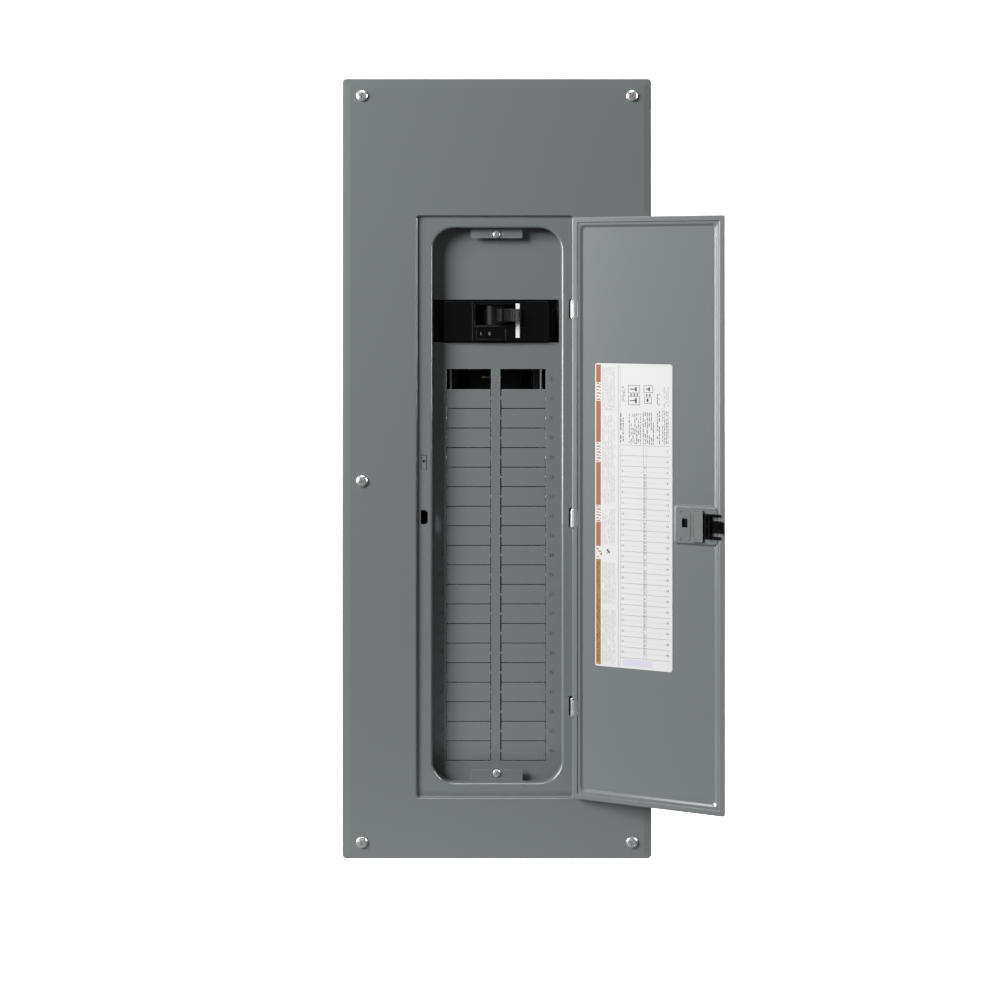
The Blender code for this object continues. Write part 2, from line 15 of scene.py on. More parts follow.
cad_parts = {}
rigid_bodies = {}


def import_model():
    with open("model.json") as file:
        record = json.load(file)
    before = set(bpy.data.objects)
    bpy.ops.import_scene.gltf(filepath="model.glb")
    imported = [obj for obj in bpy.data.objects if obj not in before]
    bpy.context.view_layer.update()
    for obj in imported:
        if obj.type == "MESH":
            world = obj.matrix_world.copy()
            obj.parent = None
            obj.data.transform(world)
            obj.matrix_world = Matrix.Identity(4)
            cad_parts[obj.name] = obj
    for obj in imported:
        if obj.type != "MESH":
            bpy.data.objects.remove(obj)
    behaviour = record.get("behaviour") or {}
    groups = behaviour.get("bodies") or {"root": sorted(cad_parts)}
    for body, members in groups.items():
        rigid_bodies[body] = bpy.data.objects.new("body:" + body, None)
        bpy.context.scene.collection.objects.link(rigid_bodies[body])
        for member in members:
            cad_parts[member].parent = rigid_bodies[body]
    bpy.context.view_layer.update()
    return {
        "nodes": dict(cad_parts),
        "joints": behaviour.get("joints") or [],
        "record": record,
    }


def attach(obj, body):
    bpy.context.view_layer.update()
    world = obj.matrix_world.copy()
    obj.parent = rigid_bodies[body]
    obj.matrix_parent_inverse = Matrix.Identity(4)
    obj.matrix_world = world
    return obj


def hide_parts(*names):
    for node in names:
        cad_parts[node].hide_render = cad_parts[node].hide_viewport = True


for item in list(bpy.data.objects):
    bpy.data.objects.remove(item, do_unlink=True)
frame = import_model()

MM = 0.001
JOINTS = {joint["name"]: joint for joint in frame["joints"]}
SLOTS = {part["node"]: part["material_slot"] for part in frame["record"]["subparts"]}


# ---------------------------------------------------------------- places read from the frame

def turn_about(joint, angle):
    """The turn by an angle in degrees about a joint's axis."""
    at = Vector(joint["pos_m"])
    return Matrix.Translation(at) @ Matrix.Rotation(radians(angle), 4, joint["axis"]) @ Matrix.Translation(-at)


SWING = turn_about(JOINTS["door_hinge"], -JOINTS["door_hinge"]["range_deg"][0])
TOGGLE = turn_about(JOINTS["main_handle"], -JOINTS["main_handle"]["range_deg"][0] / 2)


def drawn(node, place=None):
    """A node's lowest and highest corner in millimetres, as it was drawn before its body was turned."""
    back = place.inverted() if place else Matrix.Identity(4)
    points = [back @ vertex.co / MM for vertex in frame["nodes"][node].data.vertices]
    return (Vector([min(p[i] for p in points) for i in range(3)]),
            Vector([max(p[i] for p in points) for i in range(3)]))


def flat(node, place=None):
    """(x0, x1, z0, z1) of a node in the plane of the front."""
    low, high = drawn(node, place)
    return (low.x, high.x, low.z, high.z)


FRONT = drawn("cover")[0].y
HINGE = [1000 * value for value in JOINTS["door_hinge"]["pos_m"]]
HANDLE = [1000 * value for value in JOINTS["main_handle"]["pos_m"]]
HINGE_NAMES = ("top", "middle", "bottom")
HINGE_HEIGHTS = {name: sum(flat(f"hinge_leaf_cover_{name}")[2:]) / 2 for name in HINGE_NAMES}
LATCH_Z = sum(flat("latch_slide", SWING)[2:]) / 2
DOOR = flat("door_panel", SWING)
DOOR_FRONT = drawn("door_panel", SWING)[0].y
SHEET, THIN = 1.4, 1.2                           # steel of the cover, and of the door and deadfront
SEAT = (DOOR[0] - 2.4, DOOR[1] + 2.1, DOOR[2] - 1.4, DOOR[3] + 1.4)
OPENING = (-82.6, 83.3, -404.2, 308.9)
ROWS, PITCH, ROWS_TOP = 20, 25.4, 126.4
ROW_OUTER = 64.4
RIB = ((-1, 6.6, 0.8), (1, 5.4, 1.6))            # side, distance of its edge, and width of the slit beside it
MAIN_WINDOW = (-82.0, 82.0, 160.5, 216.5)        # the deadfront's window for the main breaker
WALL_HOLES = [(x, z) for z in (400, -400) for x in (-115, 115)]
BONDING_HOLE = (-117.0, -390.0)
LOCK_KNOCKOUT = (-97.4, -90.0, -2.0, 17.5)
POCKET = (-90.0, -37.6, -85.0, -40.0)            # the latch's pocket in the door, and the y of its floor
POCKET_FLOOR = -94.3
COVER_SCREWS = [(sum(flat(f"cover_screw_{n}")[:2]) / 2, sum(flat(f"cover_screw_{n}")[2:]) / 2)
                for n in range(1, 7)]
BRACKET_SCREWS = {name: sum(flat(f"deadfront_screw_{name}")[2:]) / 2 for name in ("top", "bottom")}


# ---------------------------------------------------------------- shapes

def shape(form):
    """A mesh from a form, its faces turned outwards."""
    bmesh.ops.recalc_face_normals(form, faces=form.faces)
    mesh = bpy.data.meshes.new("shape")
    form.to_mesh(mesh)
    form.free()
    return mesh


def skin(sections, closed=False):
    """Skin equal loops of points; the ends are capped, or joined to each other when closed."""
    form = bmesh.new()
    loops = [[form.verts.new(point) for point in section] for section in sections]
    pairs = zip(loops, loops[1:] + loops[:1]) if closed else zip(loops, loops[1:])
    for here, there in pairs:
        for i in range(len(here)):
            form.faces.new((here[i - 1], here[i], there[i], there[i - 1]))
    if not closed:
        form.faces.new(loops[0])
        form.faces.new(loops[-1])
    return shape(form)


AXES = {
    "X": lambda a, b, c: (c, a, b),
    "Y": lambda a, b, c: (a, c, b),
    "Z": lambda a, b, c: (a, b, c),
}


def prism(outline, axis, low, high):
    """An outline of (a, b) points run along an axis."""
    return skin([[AXES[axis](a, b, c) for a, b in outline] for c in (low, high)])


def block(x0, x1, y0, y1, z0, z1):
    return prism([(x0, y0), (x1, y0), (x1, y1), (x0, y1)], "Z", z0, z1)


def circle(a, b, radius, sides):
    return [(a + radius * cos(2 * pi * i / sides), b + radius * sin(2 * pi * i / sides)) for i in range(sides)]


def rod(axis, a, b, radius, low, high, sides=32):
    return prism(circle(a, b, radius, sides), axis, low, high)


def turned(axis, a, b, profile, sides=36):
    """A turned shape from (radius, height) pairs along an axis."""
    return skin([[AXES[axis](p, q, height) for p, q in circle(a, b, radius, sides)]
                 for radius, height in profile])


def gather(meshes):
    """Separate shapes in one mesh."""
    form = bmesh.new()
    for mesh in meshes:
        form.from_mesh(mesh)
        bpy.data.meshes.remove(mesh)
    mesh = bpy.data.meshes.new("shape")
    form.to_mesh(mesh)
    form.free()
    return mesh


def rounded(bounds, radius, steps=8):
    """A rounded rectangle as (a, b) points."""
    x0, x1, z0, z1 = bounds
    corners = ((x1 - radius, z1 - radius, 0), (x0 + radius, z1 - radius, 90),
               (x0 + radius, z0 + radius, 180), (x1 - radius, z0 + radius, 270))
    return [(x + radius * cos(radians(start + 90 * i / steps)), z + radius * sin(radians(start + 90 * i / steps)))
            for x, z, start in corners for i in range(steps + 1)]


def rings(bounds, radius, profile, steps=12, least=0.6):
    """Rounded rectangles in the plane of the front, grown by each (amount, y) of a section."""
    x0, x1, z0, z1 = bounds
    return [[(x, y, z) for x, z in rounded((x0 - grow, x1 + grow, z0 - grow, z1 + grow),
                                           max(radius + grow, least), steps)] for grow, y in profile]


def soften(profile, radii, step=18):
    """A section with an arc of the given radius at each inner corner."""
    points = [Vector(point) for point in profile]
    made = [points[0]]
    for before, corner, after, radius in zip(points, points[1:], points[2:], radii):
        into, out = (corner - before).normalized(), (after - corner).normalized()
        bend = into.angle_signed(out)
        if radius and abs(bend) > 0.01:
            reach = radius * tan(abs(bend) / 2)
            side = Vector((into.y, -into.x)) * (1 if bend > 0 else -1)
            start, centre = corner - into * reach, corner - into * reach + side * radius
            count = max(2, ceil(abs(degrees(bend)) / step))
            made += [centre + Matrix.Rotation(-bend * i / count, 2) @ (start - centre) for i in range(count + 1)]
        else:
            made.append(corner)
    return made + [points[-1]]


def backed(profile, thickness):
    """The same section offset to its inner side by the sheet's thickness, running back."""
    made = []
    for i, point in enumerate(profile):
        into = (point - profile[i - 1]).normalized() if i else None
        out = (profile[i + 1] - point).normalized() if i + 1 < len(profile) else None
        sides = [Vector((way.y, -way.x)) for way in (into, out) if way]
        middle = sum(sides, Vector((0, 0))).normalized()
        made.append(point + middle * thickness / middle.dot(sides[0]))
    return made[::-1]


def grid_plate(xs, zs, filled, front, thickness):
    """A plate made of the filled cells of a grid, with its front at y = front(x, z)."""
    form = bmesh.new()
    points = {}

    def point(i, j, back):
        if (i, j, back) not in points:
            y = front(xs[i], zs[j]) + back * thickness
            points[i, j, back] = form.verts.new((xs[i], y, zs[j]))
        return points[i, j, back]

    cells = {(i, j) for i in range(len(xs) - 1) for j in range(len(zs) - 1) if filled(i, j)}
    for i, j in cells:
        for back in (0, 1):
            form.faces.new([point(*at, back) for at in ((i, j), (i + 1, j), (i + 1, j + 1), (i, j + 1))])
        sides = (((i - 1, j), (i, j), (i, j + 1)), ((i + 1, j), (i + 1, j), (i + 1, j + 1)),
                 ((i, j - 1), (i, j), (i + 1, j)), ((i, j + 1), (i, j + 1), (i + 1, j + 1)))
        for beyond, a, b in sides:
            if beyond not in cells:
                form.faces.new([point(*a, 0), point(*b, 0), point(*b, 1), point(*a, 1)])
    return shape(form)


def lettering(words, size, at, depth, facing=1):
    """Numbers as solid shapes, standing on y = at[1]; facing -1 turns them to be read from behind."""
    curve = bpy.data.curves.new("lettering", "FONT")
    curve.body = words
    curve.size = size
    curve.extrude = depth / 2
    curve.resolution_u = 2
    curve.align_x, curve.align_y = "CENTER", "CENTER"
    text = bpy.data.objects.new("lettering", curve)
    bpy.context.scene.collection.objects.link(text)
    bpy.context.view_layer.update()
    mesh = bpy.data.meshes.new_from_object(text.evaluated_get(bpy.context.evaluated_depsgraph_get()))
    bpy.data.objects.remove(text)
    turn = Matrix.Rotation(0 if facing > 0 else pi, 4, "Z") @ Matrix.Rotation(radians(90), 4, "X")
    mesh.transform(Matrix.Translation(at) @ turn)
    form = bmesh.new()
    form.from_mesh(mesh)
    bpy.data.meshes.remove(mesh)
    bmesh.ops.remove_doubles(form, verts=form.verts, dist=1e-4)
    return shape(form)


# ---------------------------------------------------------------- materials

def surface(name, colour, other, roughness, metallic=0.0, patches=12.0, grain=(900.0, 0.15, 0.05),
            stretch=(1, 1, 1), coat=0.0, specular=0.5, edge=None):
    """A procedural finish: clouded colour, uneven gloss, a fine bump, and edges rubbed paler."""
    material = bpy.data.materials.new(name)
    material.use_nodes = True
    nodes, links = material.node_tree.nodes, material.node_tree.links
    shader = nodes["Principled BSDF"]
    shader.inputs["Metallic"].default_value = metallic
    shader.inputs["Coat Weight"].default_value = coat
    shader.inputs["Coat Roughness"].default_value = 0.13
    shader.inputs["Specular IOR Level"].default_value = specular
    material.diffuse_color = (*colour, 1)
    place = nodes.new("ShaderNodeTexCoord")
    scaled = nodes.new("ShaderNodeMapping")
    scaled.inputs["Scale"].default_value = stretch
    links.new(place.outputs["Object"], scaled.inputs["Vector"])

    def noise(scale, detail, low, high):
        cloud = nodes.new("ShaderNodeTexNoise")
        cloud.inputs["Scale"].default_value = scale
        cloud.inputs["Detail"].default_value = detail
        links.new(scaled.outputs["Vector"], cloud.inputs["Vector"])
        spread = nodes.new("ShaderNodeMapRange")
        spread.inputs["To Min"].default_value, spread.inputs["To Max"].default_value = low, high
        links.new(cloud.outputs["Fac"], spread.inputs["Value"])
        return spread.outputs["Result"]

    def mix(factor, first, second):
        blend = nodes.new("ShaderNodeMix")
        blend.data_type = "RGBA"
        links.new(factor, blend.inputs["Factor"])
        for socket, value in ((blend.inputs[6], first), (blend.inputs[7], second)):
            if isinstance(value, tuple):
                socket.default_value = (*value, 1)
            else:
                links.new(value, socket)
        return blend.outputs[2]

    shade = mix(noise(patches, 4, 0, 1), colour, other)
    low, high = roughness
    gloss = noise(patches * 4, 3, low, high)
    scale, strength, distance = grain
    if edge:
        bevel = nodes.new("ShaderNodeBevel")
        bevel.samples = 4
        bevel.inputs["Radius"].default_value = 0.7 * MM
        true = nodes.new("ShaderNodeNewGeometry")
        dot = nodes.new("ShaderNodeVectorMath")
        dot.operation = "DOT_PRODUCT"
        links.new(bevel.outputs["Normal"], dot.inputs[0])
        links.new(true.outputs["Normal"], dot.inputs[1])
        worn = nodes.new("ShaderNodeMapRange")
        worn.inputs["From Min"].default_value, worn.inputs["From Max"].default_value = 0.99, 0.80
        links.new(dot.outputs["Value"], worn.inputs["Value"])
        patchy = nodes.new("ShaderNodeMath")
        patchy.operation = "MULTIPLY"
        links.new(worn.outputs["Result"], patchy.inputs[0])
        links.new(noise(patches * 9, 2, 0.15, 0.75), patchy.inputs[1])
        shade = mix(patchy.outputs["Value"], shade, edge)
    links.new(shade, shader.inputs["Base Color"])
    links.new(gloss, shader.inputs["Roughness"])
    bump = nodes.new("ShaderNodeBump")
    bump.inputs["Strength"].default_value = strength
    bump.inputs["Distance"].default_value = distance * MM
    links.new(noise(scale, 2, 0, 1), bump.inputs["Height"])
    links.new(bump.outputs["Normal"], shader.inputs["Normal"])
    return material


# One finish for each of the record's slots, and the label's inks
FINISHES = {
    "grey_paint": dict(colour=(0.1585, 0.1735, 0.1765), other=(0.1600, 0.1750, 0.1780), roughness=(0.28, 0.29),
                       patches=3.0, grain=(600.0, 0.16, 0.04), coat=1.0, edge=(0.30, 0.32, 0.33)),
    "bright_zinc": dict(colour=(0.80, 0.81, 0.84), other=(0.70, 0.72, 0.74), roughness=(0.18, 0.32),
                        metallic=0.7, patches=60.0, grain=(1600.0, 0.25, 0.03)),
    "plain_steel": dict(colour=(0.46, 0.47, 0.49), other=(0.36, 0.37, 0.38), roughness=(0.28, 0.45),
                        metallic=1.0, patches=90.0, grain=(1200.0, 0.3, 0.04)),
    "aluminium": dict(colour=(0.80, 0.80, 0.82), other=(0.70, 0.70, 0.72), roughness=(0.24, 0.40),
                      metallic=1.0, patches=40.0, grain=(1500.0, 0.4, 0.04), stretch=(1, 1, 0.03)),
    "plated_copper": dict(colour=(0.68, 0.61, 0.52), other=(0.60, 0.50, 0.40), roughness=(0.22, 0.36),
                          metallic=1.0, patches=50.0, grain=(1400.0, 0.3, 0.03)),
    "black_plastic": dict(colour=(0.0040, 0.0040, 0.0045), other=(0.0065, 0.0065, 0.0070),
                          roughness=(0.28, 0.40), grain=(1800.0, 0.30, 0.03), specular=0.30,
                          edge=(0.02, 0.02, 0.02)),
    "glossy_black_plastic": dict(colour=(0.0030, 0.0030, 0.0035), other=(0.005, 0.005, 0.0055),
                                 roughness=(0.10, 0.18), grain=(700.0, 0.10, 0.02), specular=0.40,
                                 edge=(0.02, 0.02, 0.02)),
    "grey_plastic": dict(colour=(0.150, 0.160, 0.160), other=(0.170, 0.178, 0.176), roughness=(0.34, 0.48),
                         grain=(1700.0, 0.35, 0.04), edge=(0.26, 0.27, 0.27)),
    "white_plastic": dict(colour=(0.84, 0.84, 0.83), other=(0.78, 0.78, 0.77), roughness=(0.36, 0.46),
                          grain=(1800.0, 0.2, 0.02)),
    "label_paper": dict(colour=(0.635, 0.635, 0.635), other=(0.605, 0.605, 0.60), roughness=(0.42, 0.58),
                        patches=25.0, grain=(1400.0, 0.3, 0.03)),
    "green_screw": dict(colour=(0.04, 0.28, 0.09), other=(0.06, 0.34, 0.12), roughness=(0.24, 0.38),
                        metallic=0.7, patches=60.0, grain=(1600.0, 0.2, 0.03)),
    "ink_black": dict(colour=(0.030, 0.030, 0.032), other=(0.070, 0.070, 0.072), roughness=(0.45, 0.60),
                      patches=300.0),
    "ink_grey": dict(colour=(0.24, 0.24, 0.24), other=(0.32, 0.32, 0.32), roughness=(0.45, 0.60), patches=300.0),
    "ink_pale": dict(colour=(0.38, 0.38, 0.38), other=(0.46, 0.46, 0.46), roughness=(0.45, 0.60), patches=300.0),
    "ink_red": dict(colour=(0.32, 0.105, 0.055), other=(0.38, 0.130, 0.070), roughness=(0.42, 0.55),
                    patches=120.0),
    "ink_ochre": dict(colour=(0.29, 0.15, 0.040), other=(0.35, 0.19, 0.055), roughness=(0.42, 0.55),
                      patches=120.0),
    "ink_lilac": dict(colour=(0.54, 0.52, 0.64), other=(0.57, 0.55, 0.66), roughness=(0.45, 0.60),
                      patches=120.0),
}
LOOKS = {name: surface(name, **finish) for name, finish in FINISHES.items()}


# ---------------------------------------------------------------- pieces

def smooth(item, bevel, angle=32):
    """Bevelled edges, and shading weighted by face so that flats stay flat."""
    item.data.shade_smooth()
    item.data.set_sharp_from_angle(angle=radians(angle))
    if bevel:
        rounding = item.modifiers.new("bevel", "BEVEL")
        rounding.width = bevel * MM
        rounding.segments = 2
        rounding.limit_method = "ANGLE"
        rounding.angle_limit = radians(angle)
    weighted = item.modifiers.new("weighted_normal", "WEIGHTED_NORMAL")
    weighted.keep_sharp = True


def combine(item, join=(), cut=()):
    """Join shapes to an item's mesh and cut others from it."""
    links = bpy.context.scene.collection.objects
    tools = []
    for operation, meshes in (("UNION", join), ("DIFFERENCE", cut)):
        for other in meshes:
            tool = bpy.data.objects.new("tool", other)
            links.link(tool)
            modifier = item.modifiers.new(operation.lower(), "BOOLEAN")
            modifier.operation = operation
            modifier.object = tool
            tools.append(tool)
    if not tools:
        return
    bpy.context.view_layer.update()
    made = bpy.data.meshes.new_from_object(item.evaluated_get(bpy.context.evaluated_depsgraph_get()))
    item.modifiers.clear()
    item.data = made
    for tool in tools:
        bpy.data.objects.remove(tool)


def paint(item, look):
    item.data.materials.clear()
    item.data.materials.append(LOOKS[look])


def piece(name, look, body, mesh, join=(), cut=(), bevel=0.0, stands_for=(), place=None):
    """One finished piece: shapes joined and cut, brought to metres, turned to rest and set on its body."""
    item = bpy.data.objects.new(name, mesh)
    bpy.context.scene.collection.objects.link(item)
    combine(item, join, cut)
    item.data.name = name
    item.data.transform(Matrix.Scale(MM, 4))
    if place:
        item.data.transform(place)
    paint(item, look)
    smooth(item, bevel)
    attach(item, body)
    if stands_for:
        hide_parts(*([stands_for] if isinstance(stands_for, str) else stands_for))
    return item


def screw_mesh(head, height, shank, length, sides=40):
    """A pan-head screw at the origin, its head on y = 0 and facing -Y."""
    dome = [(head * sin(radians(a)), -0.32 * height - 0.68 * height * cos(radians(a))) for a in range(90, 9, -10)]
    profile = [(shank - 0.8, length), (shank, length - 1.2), (shank, 0.5),
               (head - 0.3, 0.0), (head, -0.15 * height)]
    return turned("Y", 0, 0, profile + dome, sides)


def make_screw(name, look, node, turn):
    """A finer screw in place of a CAD one, with a cross recess, and a slot too if it is big."""
    low, high = drawn(node)
    x, z, head = (low.x + high.x) / 2, (low.z + high.z) / 2, (high.x - low.x) / 2
    big = head > 6
    height, shank = (4.2, 3.0) if big else (2.6, 2.0)
    length = high.y - low.y - height
    arm, half = 0.50 * head, 0.10 * head
    deep = -0.42 * height
    cross = [block(-arm, arm, -height - 2, deep, -half, half), block(-half, half, -height - 2, deep, -arm, arm)]
    if big:
        cross.append(block(-0.86 * head, 0.86 * head, -height - 2, -0.72 * height, -0.09 * head, 0.09 * head))
    item = piece(name, look, "enclosure", screw_mesh(head, height, shank, length), cut=cross, bevel=0.12)
    item.data.transform(Matrix.Rotation(radians(turn), 4, "Y"))
    item.data.transform(Matrix.Translation(Vector((x, low.y + height, z)) * MM))
    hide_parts(node)


def knockout(axis, a, b, radius, face, out):
    """Cutters for a knockout's ring, a groove in the face of a wall that looks along `out`."""
    low, high = sorted((face + out * 1.0, face - out * 0.55))
    outer, inner = circle(a, b, radius, 28), circle(a, b, radius - 0.9, 28)
    return skin([[AXES[axis](p, q, c) for p, q in ring]
                 for ring, c in ((outer, low), (outer, high), (inner, high), (inner, low))], closed=True)


def make_box():
    """The box: a drawn tray with its front flange, knockouts, wall holes and nailing marks."""
    low, high = drawn("enclosure_box")
    bounds = (low.x, high.x, low.z, high.z)
    front, wall = low.y, 1.5
    profile = soften([(-24.0, 0.0), (0.0, 0.0), (0.0, front), (-18.0, front)], (3.0, 3.2))
    sections = rings(bounds, 4.0, profile + backed(profile, wall), 8)
    cut = [rod("Y", x, z, 3.4, front - 5, front + 5) for x, z in COVER_SCREWS]
    cut += [rod("Y", x, z, 4.0, -5, 5) for x, z in WALL_HOLES]
    keys = [block(x - 1.8, x + 1.8, -5, 5, z, z + 11) for x, z in WALL_HOLES]
    cut.append(rod("Y", *BONDING_HOLE, 2.3, -5, 5))
    middle = front / 2
    for face, out in ((high.z, 1), (low.z, -1)):
        for x, radius in ((-135, 14), (-90, 11), (-45, 11), (0, 22), (45, 11), (90, 11), (135, 14)):
            cut += [knockout("Z", x, middle, size, face, out) for size in (radius, radius - 4.5)]
    for face, out in ((high.x, 1), (low.x, -1)):
        for z in (440, 395, -350, -395, -440):
            cut.append(knockout("X", middle, z, 11, face, out))
        for z in (300, 0, -300):
            cut += [knockout("X", y, z, 3.2, face, out) for y in (-20, -75)]
    for z in (440, -440):
        for x in (-60, 0, 60):
            cut.append(knockout("Y", x, z, 14, high.y, 1))
    piece("box_shell", "grey_paint", "enclosure", skin(sections), cut=[gather(cut), gather(keys)],
          stands_for="enclosure_box")


def make_cover():
    """The cover, one drawn sheet: bevelled edge, flat field, the door's seat and the deep opening."""
    outer = flat("cover")
    floor, wall = FRONT + 5.0, FRONT + 16.0
    field = soften([(0.0, FRONT + 4.2), (0.0, FRONT + 1.3), (-10.0, FRONT), (-16.0, FRONT)], (1.2, 9.0), 12)
    seat = soften([(3.6, FRONT), (1.0, FRONT), (0.0, floor), (-2.6, floor)], (1.7, 0.7), 15)
    drawn_in = soften([(8.0, floor), (0.0, floor), (0.0, wall)], (3.2,), 9)
    front = [(outer, 6.0, field), (SEAT, 3.0, seat), (OPENING, 29.0, drawn_in)]
    back = [(bounds, radius, backed(profile, SHEET)) for bounds, radius, profile in front[::-1]]
    sections = [ring for bounds, radius, profile in front + back for ring in rings(bounds, radius, profile, 14)]
    near, far = FRONT - 5, wall + 5
    cut = [rod("Y", x, z, 3.6, near, far) for x, z in COVER_SCREWS]
    cut += [block(-97.7, -90.4, near, far, LATCH_Z - 9.2, LATCH_Z + 9.2),
            block(-91.0, -88.3, near, far, LATCH_Z - 7.2, LATCH_Z + 7.2)]
    cut += [block(92.5, 101.0, near, FRONT + 10, z - 12.5, z + 12.5) for z in HINGE_HEIGHTS.values()]
    left, right, low, high = LOCK_KNOCKOUT
    slit = 0.8
    cut += [block(left, left + slit, near, far, low, high), block(right - slit, right, near, far, low, high),
            block(left + 0.1, right - 0.1, near, far, high - slit, high),
            rod("Y", (left + right) / 2, 9.5, 1.7, near, far, 20)]
    pad = block(left + slit, right - slit, floor - 0.6, floor + SHEET, low + 1.0, high - slit)
    piece("cover_sheet", "grey_paint", "enclosure", skin(sections, closed=True), join=[pad], cut=cut,
          bevel=0.25, stands_for="cover")


def make_deadfront():
    """The deadfront: a folded tray with the main's window and a ladder of breaker twistouts."""
    high = drawn("deadfront")[1]
    lip = drawn("deadfront")[0].y
    face = high.y - THIN
    profile = soften([(-24.0, face), (-THIN, face), (-THIN, lip), (0.0, lip), (0.0, high.y), (-24.0, high.y)],
                     (2.0, 0.4, 0.4, 3.2))
    near, far = lip - 5, high.y + 5
    bottom = ROWS_TOP - ROWS * PITCH
    slit, tab = 1.1, 1.4
    columns = [[side * x for x in (inner - 3.0, inner, inner + beside_rib, ROW_OUTER - 0.5, ROW_OUTER,
                                   ROW_OUTER + 3.5)][::side] for side, inner, beside_rib in RIB]
    zs, kinds = [ROWS_TOP + 3.0], ["border"]
    for row in range(ROWS):
        top = ROWS_TOP - row * PITCH
        middle = top - (PITCH + slit) / 2
        if row == 0:
            zs.append(top)
            kinds.append("open")
            continue
        zs += [top, top - slit, top - 5.0, middle + tab, middle - tab, top - 20.0]
        kinds += ["slit", "plate", "plate", "tab", "plate", "plate"]
    zs += [bottom, bottom - slit, bottom - 3.0]
    kinds += ["slit", "border"]
    zs, kinds = zs[::-1], kinds[::-1]

    def filled(i, j):
        kind, column = kinds[j], min(i, 4 - i)
        if column == 0 or kind == "border":
            return True
        return kind == "tab" or (kind == "plate" and column == 2)

    def front(x, z):
        """Each twistout leans back a little towards its top edge."""
        within = (ROWS_TOP - z) % PITCH
        on_plate = not -RIB[0][1] - 0.1 < x < RIB[1][1] + 0.1 and abs(x) < ROW_OUTER - 0.1
        on_plate = on_plate and bottom < z < ROWS_TOP - PITCH - 0.1
        return face + (1.1 * (1 - within / PITCH) ** 1.5 if on_plate and within > 0.1 else 0.0)

    ladders = [grid_plate(xs, zs, filled, front, THIN) for xs in columns]
    windows = [block(side * (inner - 1.0), side * (ROW_OUTER + 1.8), near, far, bottom - 1.4, ROWS_TOP + 1.4)
               for side, inner, _ in RIB]
    windows.append(prism(rounded(MAIN_WINDOW, 1.5, 4), "Y", near, far))
    windows += [rod("Y", 0.0, z, 2.6, near, far) for z in BRACKET_SCREWS.values()]
    tray = piece("deadfront_tray", "grey_paint", "enclosure", skin(rings(flat("deadfront"), 6.0, profile, 10)),
                 cut=windows)
    ladder = gather(ladders)
    ladder.transform(Matrix.Scale(MM, 4))
    tray.modifiers.clear()
    combine(tray, join=[ladder])
    paint(tray, "grey_paint")
    smooth(tray, 0.2)
    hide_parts("deadfront")

    numbers = []
    for row in range(ROWS):
        z = ROWS_TOP - (row + 0.5) * PITCH
        for side in (-1, 1):
            number = 2 * row + (1 if side < 0 else 2)
            numbers.append(lettering(str(number), 6.4, (side * (ROW_OUTER + 6.6), face, z), 1.4))
    piece("circuit_numbers", "grey_paint", "enclosure", gather(numbers))


def make_brackets():
    """The two angle brackets that hold the deadfront, their lower corners rounded."""
    for name, up in (("top", 1), ("bottom", -1)):
        node = f"deadfront_bracket_{name}"
        low, high = drawn(node)
        wall, edge = (high.z, low.z) if up > 0 else (low.z, high.z)
        inner, plate = high.y, high.y - 1.5
        leg = block(low.x, high.x, low.y, inner, *sorted((wall, wall - up * 1.5)))
        outline = rounded((low.x, high.x, *sorted((edge, wall))), 2.6, 6)
        face = prism(outline, "Y", plate, inner)
        screw_z = BRACKET_SCREWS[name]
        piece(f"bracket_{name}", "grey_paint", "enclosure", face, join=[leg],
              cut=[rod("Y", 0, screw_z, 2.5, plate - 9, inner + 9), knockout("Y", 0, screw_z, 6.1, plate, -1)],
              bevel=0.6, stands_for=node)


# ---------------------------------------------------------------- door

